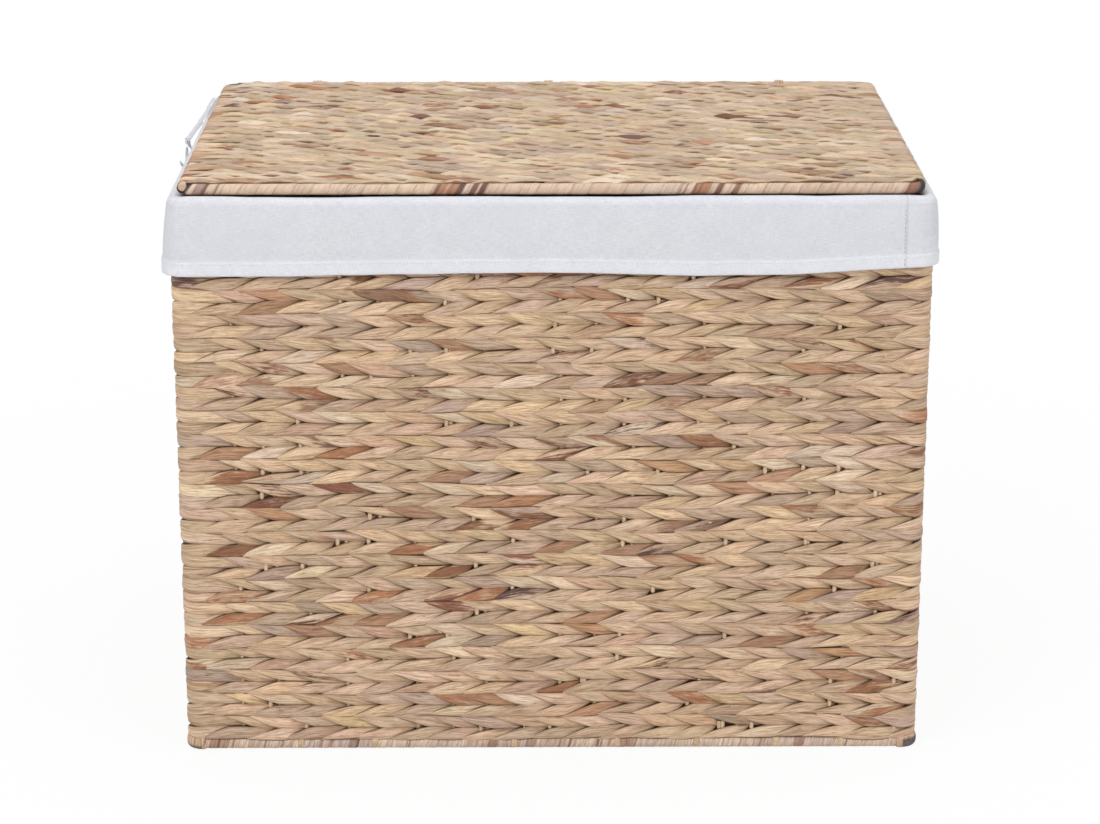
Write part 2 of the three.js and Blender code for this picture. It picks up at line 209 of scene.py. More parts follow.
class Shader:
    """A Principled material whose nodes are made by short calls."""

    def __init__(self, name, **values):
        self.material = bpy.data.materials.new(name)
        self.material.use_nodes = True
        self.tree = self.material.node_tree
        self.bsdf = self.tree.nodes["Principled BSDF"]
        self.set(**values)

    def set(self, **values):
        for name, value in values.items():
            feed(self.tree, self.bsdf.inputs[name.replace("_", " ")], value)

    def node(self, kind, output, inputs, **settings):
        return add_node(self.tree, kind, output, inputs, **settings)

    def attribute(self, name, output="Vector"):
        return self.node("Attribute", output, {}, attribute_name=name)

    def place(self):
        return self.node("TexCoord", "Object", {})

    def stretch(self, vector, factors):
        return self.node("VectorMath", 0, {0: vector, 1: factors}, operation="MULTIPLY")

    def noise(self, vector, scale, detail, rough=0.55):
        inputs = {"Vector": vector, "Scale": scale, "Detail": detail, "Roughness": rough}
        return self.node("TexNoise", "Fac", inputs)

    def grain(self, vector, factors, detail=3.0, rough=0.55):
        """Noise with so many lumps to a millimetre each way."""
        return self.noise(self.stretch(vector, factors), 1.0, detail, rough)

    def threads(self, vector, axis, scale):
        only = {"X": (1.0, 0.0, 0.0), "Y": (0.0, 1.0, 0.0)}[axis]
        inputs = {"Vector": self.stretch(vector, only), "Scale": scale}
        return self.node("TexWave", "Fac", inputs, bands_direction=axis)

    def span(self, value, low, high, to_low=0, to_high=1):
        inputs = {"Value": value, "From Min": low, "From Max": high, "To Min": to_low, "To Max": to_high}
        return self.node("MapRange", "Result", inputs)

    def math(self, operation, a, b):
        return self.node("Math", 0, {0: a, 1: b}, operation=operation)

    def weigh(self, a, share_a, b, share_b):
        return self.math("ADD", self.math("MULTIPLY", a, share_a), self.math("MULTIPLY", b, share_b))

    def mix(self, factor, a, b, blend="MIX"):
        return self.node("Mix", 2, {0: factor, 6: a, 7: b}, data_type="RGBA", blend_type=blend)

    def times(self, a, b):
        return self.mix(1.0, a, b, "MULTIPLY")

    def bump(self, height, strength, distance):
        inputs = {"Height": height, "Strength": strength, "Distance": distance}
        self.set(Normal=self.node("Bump", "Normal", inputs))


def factors(amount, *shares):
    """A colour to multiply by: 1 and a share of the amount in each channel."""
    return (*(1 + share * amount for share in shares), 1)


def strand_material(name, contrast, grain, specular):
    """Dry flattened stem: the vertex tint and stain, broken up by lengthwise fibres and darker specks."""
    shader = Shader(name, Specular_IOR_Level=specular)
    fibre = shader.attribute("fibre")
    streak = shader.grain(fibre, (0.045, 0.62, 7.3))
    fine = shader.grain(fibre, (0.06, 1.05, 11.7), rough=0.65)
    blot = shader.grain(fibre, (0.11, 0.30, 5.1))
    ragged = shader.math("ADD", shader.span(streak, 0.3, 0.7, -0.4, 0.4), shader.span(blot, 0.3, 0.7, -0.2, 0.2))
    amount = shader.math("ADD", shader.attribute("stain", "Alpha"), ragged)
    tint, stain = shader.attribute("tint", "Color"), shader.attribute("stain", "Color")
    colour = shader.mix(shader.span(amount, 0.32, 0.72), tint, stain)
    dark, light = factors(contrast, -1, -1.15, -1.3), factors(contrast, 0.5, 0.5, 0.47)
    colour = shader.times(colour, shader.mix(shader.span(streak, 0.32, 0.68), dark, light))
    lined, clear = factors(grain, -1, -1.2, -1.4), factors(grain, 0.32, 0.32, 0.3)
    colour = shader.times(colour, shader.mix(shader.span(fine, 0.34, 0.58), lined, clear))
    brown = shader.times(colour, (0.78, 0.62, 0.48, 1))
    colour = shader.mix(shader.span(blot, 0.57, 0.72, 0, 0.6), colour, brown)
    shader.set(Base_Color=colour, Roughness=shader.span(streak, 0.2, 0.8, 0.66, 0.48))
    shader.bump(shader.math("ADD", shader.math("MULTIPLY", streak, 0.9), fine), 0.7, 0.0009)
    return shader.material


def cane_material():
    """Pale twisted cane with faint lines across it."""
    shader = Shader("pale_cane", Roughness=0.62, Specular_IOR_Level=0.3)
    fibre = shader.attribute("fibre")
    wind = shader.grain(fibre, (0.25, 0.25, 1.6), 2.0)
    lines = shader.grain(fibre, (1.6, 1.6, 0.12), 2.0)
    colour = shader.mix(shader.span(wind, 0.35, 0.65), (0.82, 0.76, 0.68, 1), (1.06, 1.06, 1.05, 1))
    colour = shader.times(shader.attribute("tint", "Color"), colour)
    shader.set(Base_Color=shader.mix(shader.span(lines, 0.55, 0.8, 0, 0.4), colour, (0.42, 0.29, 0.16, 1)))
    shader.bump(wind, 0.3, 0.0005)
    return shader.material


def core_material(name, lift):
    """Shaded inside of the weave, paler by the factor lift."""
    shader = Shader(name, Roughness=0.95, Specular_IOR_Level=0.1)
    lumps = shader.grain(shader.attribute("fibre"), (0.05, 0.05, 0.4))
    dark, light = (0.040 * lift, 0.025 * lift, 0.016 * lift, 1), (0.17 * lift, 0.105 * lift, 0.062 * lift, 1)
    shader.set(Base_Color=shader.mix(lumps, dark, light))
    shader.bump(lumps, 0.4, 0.001)
    return shader.material


def cotton_material(name):
    """Plain-woven cotton with slubs along both threads and faint clouds."""
    shader = Shader(name, Roughness=0.92, Specular_IOR_Level=0.18, Sheen_Weight=0.12, Sheen_Roughness=0.5)
    cloth = shader.attribute("fibre")
    across, along = shader.grain(cloth, (0.16, 1.7, 1.0)), shader.grain(cloth, (1.7, 0.16, 1.0))
    slub = shader.weigh(across, 0.6, along, 0.4)
    colour = shader.mix(shader.span(slub, 0.38, 0.62), (0.595, 0.61, 0.655, 1), (0.745, 0.745, 0.77, 1))
    cloud = shader.grain(cloth, (0.012, 0.02, 1.0), 2.0)
    colour = shader.mix(shader.span(cloud, 0.4, 0.7, 0, 0.4), colour, (0.63, 0.65, 0.71, 1))
    patch = shader.grain(cloth, (0.045, 0.06, 1.0), 2.0)
    shade = shader.mix(shader.span(patch, 0.34, 0.66), (0.98, 0.98, 0.982, 1), (1.02, 1.02, 1.018, 1))
    shader.set(Base_Color=shader.times(shader.times(colour, shade), shader.attribute("tint", "Color")))
    weave = shader.weigh(shader.threads(cloth, "Y", 0.42), 0.25, shader.threads(cloth, "X", 0.42), 0.25)
    shader.bump(shader.math("ADD", weave, slub), 0.22, 0.0005)
    return shader.material


def steel_material():
    """Dark grey paint with small worn spots."""
    shader = Shader("dark_paint", Specular_IOR_Level=0.45, Metallic=0.25)
    place = shader.place()
    mottle, wear = shader.noise(place, 240, 4.0), shader.noise(place, 620, 2.0)
    colour = shader.mix(mottle, (0.065, 0.063, 0.066, 1), (0.14, 0.135, 0.136, 1))
    colour = shader.mix(shader.span(wear, 0.66, 0.72, 0, 0.7), colour, (0.22, 0.19, 0.165, 1))
    shader.set(Base_Color=colour, Roughness=shader.span(mottle, 0.2, 0.8, 0.36, 0.58))
    shader.bump(mottle, 0.12, 0.0004)
    return shader.material


STRAND = strand_material("twined_strand", contrast=0.18, grain=0.40, specular=0.30)
LID_STRAND = strand_material("lid_strand", contrast=0.12, grain=0.26, specular=0.24)
BOUND = strand_material("bound_strand", contrast=0.12, grain=0.16, specular=0.34)
ROUGH_BOUND = strand_material("rough_bound_strand", contrast=0.20, grain=0.34, specular=0.30)
CANE = cane_material()
CORE = core_material("weave_shadow", lift=1.0)
LID_SHADOW = core_material("lid_shadow", lift=1.9)
COTTON = cotton_material("liner_cotton")
TAPE = cotton_material("tape_cotton")
STEEL = steel_material()

# Tints of the strands, with how often each occurs
STRAND_TINTS = np.array([
    [0.69, 0.512, 0.364], [0.65, 0.474, 0.334], [0.61, 0.447, 0.334], [0.71, 0.528, 0.338],
    [0.63, 0.430, 0.306], [0.77, 0.615, 0.460], [0.53, 0.395, 0.304], [0.50, 0.298, 0.184],
])
STRAND_SHARE = np.array([0.36, 0.29, 0.10, 0.05, 0.03, 0.08, 0.06, 0.03])
STAIN_TINTS = np.array([[0.37, 0.175, 0.092], [0.26, 0.110, 0.066], [0.15, 0.080, 0.070], [0.36, 0.21, 0.14]])
STAIN_SHARE, STAINED_SHARE = np.array([0.42, 0.24, 0.12, 0.22]), 0.17
BINDING_TINTS = np.array([
    [0.70, 0.532, 0.405], [0.68, 0.512, 0.395], [0.66, 0.515, 0.425], [0.64, 0.472, 0.360], [0.73, 0.562, 0.420],
])
HUE_SPREAD = np.array([0.025, 0.015, 0.07])
PALE_CANE = np.array([0.64, 0.485, 0.34])


# Paths round the walls, the lid and the base
ARC_POINTS = 33


class Loop:
    """A rounded rectangle, run anticlockwise from the middle of its lower left corner."""

    def __init__(self, half_a, half_b, radius):
        a, b = half_a - radius, half_b - radius
        arcs = [(-a, -b, -135, -90), (a, -b, -90, 0), (a, b, 0, 90), (-a, b, 90, 180), (-a, -b, 180, 225)]
        self.angle = np.radians([np.linspace(first, last, ARC_POINTS) for *_, first, last in arcs]).ravel()
        centres = np.repeat([arc[:2] for arc in arcs], ARC_POINTS, axis=0)
        self.xy = centres + radius * grid(np.cos(self.angle), np.sin(self.angle))
        self.s = run_along(self.xy)
        self.length = self.s[-1]
        self.half_bend = radius * math.pi / 4
        long, short = 2 * (a + self.half_bend), 2 * (b + self.half_bend)
        self.corners = [0, long, long + short, 2 * long + short, 2 * (long + short)]

    def at(self, s, reach):
        s = s % self.length
        angle = np.interp(s, self.s, self.angle)
        x, y = (np.interp(s, self.s, line) for line in self.xy.T)
        return x + reach * np.cos(angle), y + reach * np.sin(angle)


WALL = Loop(RING_X, RING_Y, BEND)
LID_RING = Loop(LID_X, LID_SPAN / 2, LID_BEND)
LID_MIDDLE = HINGE_Y - LID_SPAN / 2
LID_CORE, BASE_CORE = 3.0, 2.0
LID_LOOP = Loop(LID_X + LID_CORE, LID_CORE, LID_CORE)
BASE_LOOP = Loop(RING_X - BINDING_R - 1.5, BASE_CORE, BASE_CORE)


def wall_place(s, height, reach):
    return grid(*WALL.at(s, reach), height)


def lid_place(s, row, reach):
    x, z = LID_LOOP.at(s, reach - LID_CORE)
    return grid(-x, LID_MIDDLE + row, z + LID_Z)


def base_place(s, row, reach):
    x, z = BASE_LOOP.at(s, reach - BASE_CORE)
    return grid(x, -row, z + BASE_RING_Z)


# A twined face: its path, first row and row height, and how its strands lie:
# how far out their edges are, how much they swell across and arch along, how deep they dive at the far end,
# how soon they reach full width, how much painted shade darkens their edges and far ends, and what their colour is
# multiplied by
Weave = namedtuple("Weave", "loop place low row edge crown arch dive lead outline tone")
WALL_ROWS, LID_ROWS, BASE_ROWS = 44, 38, 38
LID_LOW, LID_HIGH = 1.2 - LID_SPAN / 2, LID_SPAN / 2 - BINDING_R - 0.3
BASE_LOW = BINDING_R + 0.5 - RING_Y
WALL_ROW = (WALL_HIGH - WALL_LOW) / WALL_ROWS
LID_ROW = (LID_HIGH - LID_LOW) / LID_ROWS
BASE_ROW = -2 * BASE_LOW / BASE_ROWS
WALLS = Weave(WALL, wall_place, WALL_LOW, WALL_ROW,
              edge=3.6, crown=1.4, arch=1.0, dive=2.0, lead=33, outline=1.0, tone=PLAIN)
LID_TOP = Weave(LID_LOOP, lid_place, LID_LOW, LID_ROW,
                edge=3.5, crown=1.5, arch=2.4, dive=0.8, lead=20, outline=0.5, tone=(0.88, 0.93, 0.953))
LID_UNDER = Weave(LID_LOOP, lid_place, LID_LOW, LID_ROW,
                  edge=3.4, crown=1.3, arch=0.4, dive=1.0, lead=20, outline=0.8, tone=PLAIN)
BASE = Weave(BASE_LOOP, base_place, BASE_LOW, BASE_ROW,
             edge=2.4, crown=1.3, arch=0.4, dive=1.0, lead=28, outline=1.0, tone=PLAIN)

# Strands of a row: where each starts, its length, its row, which way it slants,
# how far along it turns a corner, and whether it ends early
LEAF = np.dtype([("start", float), ("length", float), ("row", float), ("slant", float),
                 ("turn", float), ("blunt", bool)])
LEAF_PITCH, LEAF_OVERLAP, BLUNT_CUT = 31.6, 31.0, 9.0
FIRST_CANE, LAST_CANE = 46.0, 33.0
# Slant of a row's strands, start of its first and last strand, and how far the last goes past the corner
RISING_ROW, FALLING_ROW = (1, 5, 29, 38), (-1, 22, 36, 54)
CORNER_SPAN, BEND_REACH = 12.0, 7.0


def waver(loop, s, row):
    """Slow rise and fall of the rows."""
    turn = 2 * np.pi * s / loop.length
    return (0.9 * np.sin(5 * turn + row / 53 + 0.7) + 0.7 * np.sin(12 * turn - row / 37 + 2.1)
            + 0.5 * np.sin(25 * turn + row / 19 + 4.0))


def leaf_rows(first, last, rows, blunt_share, stagger=0.0):
    """The strands that show on each row between two corners; the last of a row turns the corner."""
    leaves = []
    begin, end = first + FIRST_CANE, last - LAST_CANE
    count = round((end - begin) / LEAF_PITCH)
    canes = np.linspace(begin, end, count + 1)[:-1] + uniform(-2, 2, count)
    for row in range(rows):
        slant, lead, reach, tail = FALLING_ROW if row % 2 else RISING_ROW
        drift = 2.0 * np.sin(row / 6 + canes / 110) + 1.2 * (row % 2) + uniform(-2.2, 2.2, count)
        drift += stagger * (row * 0.47 % 1 - 0.5 + uniform(-0.1, 0.1))
        start = np.r_[first + lead, canes + drift, last - reach]
        start[[0, -1]] += uniform(-2.5, 2.5, 2)
        blunt = rng.random(count + 1) < blunt_share
        length = np.diff(start) + LEAF_OVERLAP * uniform(0.93, 1.07, count + 1) - BLUNT_CUT * blunt
        leaves += [(s, size, row, slant, 0, cut) for s, size, cut in zip(start, length, blunt)]
        turn = last - start[-1]
        leaves.append((start[-1], turn + tail + uniform(-3, 3), row, slant, turn, False))
    return np.array(leaves, LEAF)


def strand_stains(count, u, q):
    """A stain for each strand, station and side: on some strands it covers an end, an edge or all of it."""
    stained = rng.random((count, 1, 1)) < STAINED_SHARE
    tint = STAIN_TINTS[rng.choice(len(STAIN_TINTS), count, p=STAIN_SHARE)] * uniform(0.72, 1.3, (count, 1))
    angle = uniform(0, 2 * np.pi, (count, 1, 1))
    side = np.cos(angle) * (2 * u - 1) + 0.7 * np.sin(angle) * q
    begin, fade = uniform(-1.2, 0.7, (count, 1, 1)), uniform(0.3, 0.9, (count, 1, 1))
    amount = np.clip((side - begin) / fade, 0, 1) * stained * uniform(0.45, 0.95, (count, 1, 1))
    tint = np.broadcast_to(tint[:, None, None, :], amount.shape + (3,))
    return np.concatenate([tint, amount[..., None]], -1)


TOP_Q = np.array([-1, -0.92, -0.82, -0.5, 0, 0.5, 0.82, 0.92, 1])
SECTION_Q = np.r_[TOP_Q, 0.55, -0.55]
DEEP_RISE = np.abs(1 - np.abs(TOP_Q) ** 3) ** 0.6
SHALLOW_RISE = 1 - 0.62 * np.abs(TOP_Q) ** 2.5
UNDER_RISE = [-0.45, -0.45]
# Painted shade across a strand: dark at its edges, where it meets the strands beside it, and on its hidden underside;
# EDGE_BROWN makes this painted shade browner
EDGE_SHADE = np.array([0.08, 0.40, 0.86, 1.0, 1.0, 1.0, 0.86, 0.40, 0.08, 0.2, 0.2])
EDGE_BROWN = np.array([1.0, 1.2, 1.4])
LEAF_STATIONS = np.array([0, 0.035, 0.10, 0.18, 0.27, 0.37, 0.48, 0.60, 0.73, 0.87, 1])


def rise(part, power):
    return 1 - (1 - np.clip(part, 0, 1)) ** power


def bow(part):
    return np.sin(np.pi * np.clip(part, 0, 1))


def section_rise(out):
    """Height across a strand: it falls off less towards the seam at which it comes out than where it goes in."""
    return np.r_[np.where(out * TOP_Q > 0, SHALLOW_RISE, DEEP_RISE), UNDER_RISE]


def leaf_runs(leaves):
    """Distances along each strand at which it gets a section, closer together where it turns a corner."""
    length, turn = leaves["length"][:, None], leaves["turn"][:, None]
    if not turn.any():
        return LEAF_STATIONS * length
    ramp = np.linspace(0, 1, 8)
    before, after = turn - BEND_REACH, turn + BEND_REACH
    arc = turn + np.linspace(-BEND_REACH, BEND_REACH, 9)
    return np.concatenate([before * ramp[:-1], arc, after + (length - after) * ramp[1:]], 1)


def bend_share(loop, s):
    """How near places are to a corner of their path, from 0 to 1."""
    gap = np.min([np.abs(s - corner) for corner in loop.corners], axis=0)
    return bell(gap, CORNER_SPAN)


def add_leaves(builder, weave, leaves, shift=None):
    """Closed pointed strands, each lying slantwise in its row, over the one before and under the next."""
    count = len(leaves)

    def each(low, high):
        return uniform(low, high, (count, 1, 1))

    start, length, order, slant, _, blunt = (leaves[key][:, None, None] for key in LEAF.names)
    rising, run = slant > 0, leaf_runs(leaves)[..., None]
    half = (weave.row / 2 + 0.2) * each(0.95, 1.07) * np.where(each(0, 1) < 0.03, 0.78, 1)
    swell = each(0.1, 1.1)
    lead_in, lead_out = weave.lead * each(0.83, 1.17), np.where(blunt, 8.0, each(20, 28))
    head = half * (2 * rise(run / lead_in, each(1.2, 1.6)) - 1)
    head = head + swell * bow((run - 0.6 * lead_in) / (length - 0.6 * lead_in))
    tail = half * (1 - 2 * rise((length - run) / lead_out, 1.5))
    tail = tail - swell * bow(run / (length - 0.6 * lead_out))
    upper, lower = np.where(rising, head, -tail), np.where(rising, tail, -head)
    tilt = np.where(rising, 1, -1) * each(-0.2, 1.3) * (run / length - 0.5)
    middle = (upper + lower) / 2 + tilt + each(-0.5, 0.5)
    width = np.maximum((upper - lower) / 2, 0.22)
    shown = length - LEAF_OVERLAP + BLUNT_CUT * blunt
    far = np.clip((run - shown) / (length - shown), 0, 1)
    bend = bend_share(weave.loop, start + run)
    base = weave.edge + 0.35 - weave.dive * far + each(-0.25, 0.25) + 0.55 * weave.crown * bend
    full = np.minimum(1, width / half)
    thick = (weave.crown * each(0.8, 1.15) + weave.arch * each(0.5, 1.4) * bow(run / shown)) * full ** 0.7
    across = np.where(rising, section_rise(-1), section_rise(1))
    crease = uniform(-0.25, 0.25, (count, 1, len(SECTION_Q))) * (np.abs(SECTION_Q) < 1)
    roll = each(-0.75, 0.75) * (1 - 0.7 * bend)
    reach = base + thick * (1 - 0.6 * bend) * across + crease * full + roll * SECTION_Q
    row = weave.low + (order + 0.5) * weave.row + middle + width * SECTION_Q
    s = start + run + 0 * row
    points = weave.place(s, row + waver(weave.loop, s, row), reach)
    if shift is not None:
        points = shift(points)
    tint = STRAND_TINTS[rng.choice(len(STRAND_TINTS), count, p=STRAND_SHARE)][:, None] * each(0.84, 1.16)
    # Painted shade: darkens each strand's edges where it meets the next row, less so round corners, and its far end
    # where it dives under the next strand; the stains get the same painted shade
    outline = weave.outline * (1 - 0.45 * bend)
    shade = (1 - outline * (1 - EDGE_SHADE)) * (1 - 0.45 * weave.outline * far ** 2)
    tint = tint * (1 + HUE_SPREAD * uniform(-1, 1, (count, 1, 3))) * weave.tone
    tints = tint[:, None] * shade[..., None] ** EDGE_BROWN
    stains = strand_stains(count, run / length, SECTION_Q)
    stains[..., :3] *= shade[..., None]
    fibre = grid(run, half * SECTION_Q, each(0, 100))
    rings, sides = run.shape[1], len(SECTION_Q)
    offset = np.arange(count)[:, None, None] * (rings * sides)
    faces = [(np.asarray(group) + offset).reshape(-1, np.shape(group)[1]) for group in ring_faces(rings, sides)]
    builder.add(points, faces, tints.reshape(-1, 3), fibre, stain=stains.reshape(-1, 4))


# Material slots of a woven piece, whose strands have slot 0, and a frayed end's height and radius along it
CORE_SLOT, CANE_SLOT = 1, 2
CURL_RISE, CURL_RADII = np.array([0, 0.7, 1.1, 1.2, 1.0, 0.7]), (0.5, 0.5, 0.45, 0.4, 0.3, 0.15)


def tube(builder, path, radius, sides=8, tint=PLAIN, slot=0, closed=False, flat=1.0, normals=None):
    """A rod along a path; flat squeezes it along the given normals."""
    path = np.asarray(path, float)
    ahead = np.roll(path, -1, 0) - np.roll(path, 1, 0)
    if not closed:
        ahead[0], ahead[-1] = path[1] - path[0], path[-1] - path[-2]
    ahead = unit(ahead)
    if normals is None:
        guess = (0.0, 0.0, 1.0) if abs(ahead[0][2]) < 0.8 else (1.0, 0.0, 0.0)
        normals = np.broadcast_to(guess, path.shape)
    up = unit(normals - (normals * ahead).sum(1)[:, None] * ahead)
    side = np.cross(ahead, up)
    angle = -2 * np.pi * np.arange(sides) / sides
    radius = np.broadcast_to(np.asarray(radius, float), (len(path),))
    ring = (np.cos(angle)[:, None] * side[:, None] + flat * np.sin(angle)[:, None] * up[:, None])
    points = path[:, None] + ring * radius[:, None, None]
    fibre = grid(run_along(path)[:, None], radius[:, None] * angle, uniform(0, 100))
    builder.add(points, ring_faces(len(path), sides, closed), tint, fibre, slot)


def add_cane(builder, path, radius, sides=6, least=0.88):
    tube(builder, path, radius, sides, PALE_CANE * uniform(least, 1.08), CANE_SLOT)


def add_ticks(builder, weave, leaves):
    """Short stretches of upright cane that show beyond the strands that end early."""
    for leaf in leaves[leaves["blunt"]]:
        seam = weave.low + (leaf["row"] + 0.5 + 0.5 * leaf["slant"]) * weave.row
        rows = seam + np.linspace(-3.6, 3.6, 5)
        s = np.full(5, leaf["start"] + leaf["length"] + 1.6)
        reach = weave.edge - 0.7 - np.array([0.9, 0.15, 0, 0.15, 0.9])
        add_cane(builder, weave.place(s, rows + waver(weave.loop, s, rows), reach), 1.9, 8, 0.9)


def add_curls(builder, weave, leaves, share):
    """Small frayed ends that stand off the strands."""
    for leaf in leaves[rng.random(len(leaves)) < share]:
        turn = uniform(0, 2 * np.pi) + np.cumsum(uniform(0.15, 0.75, 6)) * rng.choice([-1, 1])
        seam = weave.low + (leaf["row"] + uniform(0.1, 0.9)) * weave.row
        s = leaf["start"] + leaf["length"] * uniform(0.1, 0.6) + np.cumsum(np.cos(turn)) * uniform(0.6, 1.3)
        rows = seam + np.cumsum(np.sin(turn)) * uniform(0.5, 0.9)
        reach = weave.edge + weave.crown - 0.6 + CURL_RISE * uniform(0.7, 1.1)
        tube(builder, weave.place(s, rows, reach), CURL_RADII, 6, STRAND_TINTS[5] * 1.1)


def add_weave(builder, weave, leaves, rows, curl_share, shift=None):
    """The strands of a face, with the canes and frayed ends that show on its first rows."""
    for turning in (False, True):
        add_leaves(builder, weave, leaves[(leaves["turn"] > 0) == turning], shift)
    loose = leaves[leaves["row"] < rows]
    add_ticks(builder, weave, loose)
    add_curls(builder, weave, loose, curl_share)


def add_core(builder, half_x, front, rear, z, half_z):
    """Shaded block inside a flat weave."""
    section = ((front, -half_z), (front, half_z), (rear, half_z), (rear, -half_z))
    core = np.array([[x, y, z + dz] for x in (-half_x, half_x) for y, dz in section])
    builder.add(core, ring_faces(2, 4), slot=CORE_SLOT)


# Twined walls
def wall_piece(name, side):
    builder = Builder()
    first, last = WALL.corners[side], WALL.corners[side + 1]
    leaves = leaf_rows(first, last, WALL_ROWS, blunt_share=0.085)
    add_weave(builder, WALLS, leaves, WALL_ROWS, curl_share=0.035)
    path = np.r_[np.linspace(first, first + WALL.half_bend, 6), np.linspace(last - WALL.half_bend, last, 6)]
    inside, outside = -5.4, 1.8
    section = [(WALL_LOW, inside), (WALL_LOW, outside), (WALL_HIGH, outside), (WALL_HIGH, inside)]
    core = np.stack([wall_place(path, height, reach) for height, reach in section], 1)
    builder.add(core, ring_faces(len(path), 4), slot=CORE_SLOT)
    for place in np.arange(first + FIRST_CANE + LEAF_OVERLAP - LEAF_PITCH, last - 8, LEAF_PITCH):
        heights = np.linspace(WALL_LOW + 0.4, WALL_HIGH - 0.4, 16)
        lean = place + uniform(-2.5, 2.5) + 0.7 * np.sin(heights / 60 + uniform(0, 6))
        add_cane(builder, wall_place(lean, heights, 1.9), 2.0)
    builder.piece(f"{name}_weave", "basket", "strand", [STRAND, CORE, CANE], [f"{name}_panel"])


for side, name in enumerate(SIDES):
    wall_piece(name, side)

# Lid, twined on both faces, with rows that turn round its side rods
LOOP_NOTCHES = [(x, 14.0, HINGE_Y - LOOP_R - 1.4) for x in LOOP_X]
CORNER_NOTCHES = [(x, 19.0, 211.0) for x in (-LID_X, LID_X)]
LID_CANE_PITCH = 16.0


def clear_of_rod(points):
    """Draws strands back from the hinge loops, the bare corners of the rear rod and the front right corner."""
    for x, half, limit in LOOP_NOTCHES + CORNER_NOTCHES:
        near = np.clip((half - np.abs(points[..., 0] - x)) / 5.0, 0, 1)
        points[..., 1] -= near * np.maximum(points[..., 1] - limit, 0)
    near = np.clip((points[..., 0] - LID_X + 7.0) / 4.0, 0, 1)
    points[..., 1] += 0.8 * near * np.maximum(-203.0 - points[..., 1], 0)
    return points


def add_lid_canes(builder):
    """Canes through the lid, with the shaded block that they lie on."""
    front, rear = LID_MIDDLE + LID_LOW + 3, LID_MIDDLE + LID_HIGH - 4
    add_core(builder, LID_X, front, rear, LID_Z, 2.6)
    y = np.linspace(front, rear - 1, 16)
    for x in np.arange(-LID_X + LID_CANE_PITCH, LID_X, LID_CANE_PITCH):
        for z in (2.1, -2.1):
            lean = x + uniform(-2, 2) + 0.6 * np.sin(y / 50 + uniform(0, 6))
            add_cane(builder, grid(lean, y, LID_Z + z), 1.9)


def add_corner_stub(builder):
    """Cut end of the strand at the lid's front left corner."""
    y = LID_MIDDLE - LID_SPAN / 2 + 5.6 - np.array([0, 3, 6, 8.5, 9.6, 10.1])
    tube(builder, grid(-LID_X + 0.5, y, LID_Z + 2.0), np.array([3.4, 3.7, 3.9, 3.8, 3.0, 1.6]), 14, STRAND_TINTS[0])


LEFT_EDGE, RIGHT_EDGE = LID_LOOP.corners[1] + LID_LOOP.half_bend, LID_LOOP.corners[3] + LID_LOOP.half_bend
for name, weave, first, last, add_inside, replaced in (
        ("lid_weave_top", LID_TOP, LEFT_EDGE, RIGHT_EDGE, add_lid_canes, ["lid_panel"]),
        ("lid_weave_under", LID_UNDER, -LID_LOOP.half_bend, LEFT_EDGE, add_corner_stub, [])):
    builder = Builder()
    leaves = leaf_rows(first, last, LID_ROWS, blunt_share=0.03, stagger=LEAF_PITCH)
    add_weave(builder, weave, leaves, LID_ROWS - 2, curl_share=0.02, shift=clear_of_rod)
    add_inside(builder)
    builder.piece(name, "lid", "strand", [LID_STRAND, LID_SHADOW, CANE], replaced)


# Twined base
def base_piece():
    builder = Builder()
    leaves = []
    long = BASE_LOOP.corners[1]
    count = round(long / LEAF_PITCH)
    step = (long - 6) / count
    for row in range(BASE_ROWS):
        for first in (0, BASE_LOOP.corners[2]):
            for start in step * np.arange(count) - (3 if row % 2 else 11):
                start = max(start, 0.0)
                length = min(1.9 * step * uniform(0.94, 1.05), long - start)
                leaves.append((first + start, length, row, -1 if row % 2 else 1, 0, False))
    add_leaves(builder, BASE, np.array(leaves, LEAF))
    add_core(builder, RING_X - BINDING_R - 2.5, BASE_LOW, -BASE_LOW, BASE_RING_Z, BASE_CORE)
    builder.piece("base_weave", "basket", "strand", [STRAND, CORE], ["base_panel"])


base_piece()


# Strips wound round the rods, followed round part of their bends; radii are shares of the binding's
STRIP = np.array([(-0.8, 0.86), (0, 0.875), (1, 0.95), (1, 1.0), (0.8, 1.01), (0.6, 1.01), (0.4, 1.01), (0.2, 1.005),
                  (0, 1.0), (-0.2, 0.995), (-0.4, 0.985), (-0.6, 0.975), (-0.8, 0.95), (-1, 0.92)])
# Painted shade across a strip: darkest on the part that lies under the neighbouring turn and at the edges where turns
# meet
STRIP_SHADE = np.array([0.4, 0.4, 0.45, 0.8, 1, 1, 1, 1, 1, 1, 1, 0.95, 0.8, 0.5])
STRIP_STEPS, STRIP_HALF = 24, 0.62
LID_BINDING_R = 4.8

# A rod ring: its part and body, its path, where the middle of the path is, and the radius of the strip round it
Ring = namedtuple("Ring", "part body loop y z binding_r")
BASE_ROD = Ring("base", "basket", WALL, 0, BASE_RING_Z, BINDING_R)
TOP_ROD = Ring("top", "basket", WALL, 0, TOP_RING_Z, BINDING_R)
LID_ROD = Ring("lid", "lid", LID_RING, LID_MIDDLE, LID_Z, LID_BINDING_R)
LID_FRONT = LID_ROD._replace(z=LID_Z - 0.8)


def ring_place(ring, s, up=0, reach=0):
    x, y = ring.loop.at(s, reach)
    return grid(x, y + ring.y, ring.z + up)


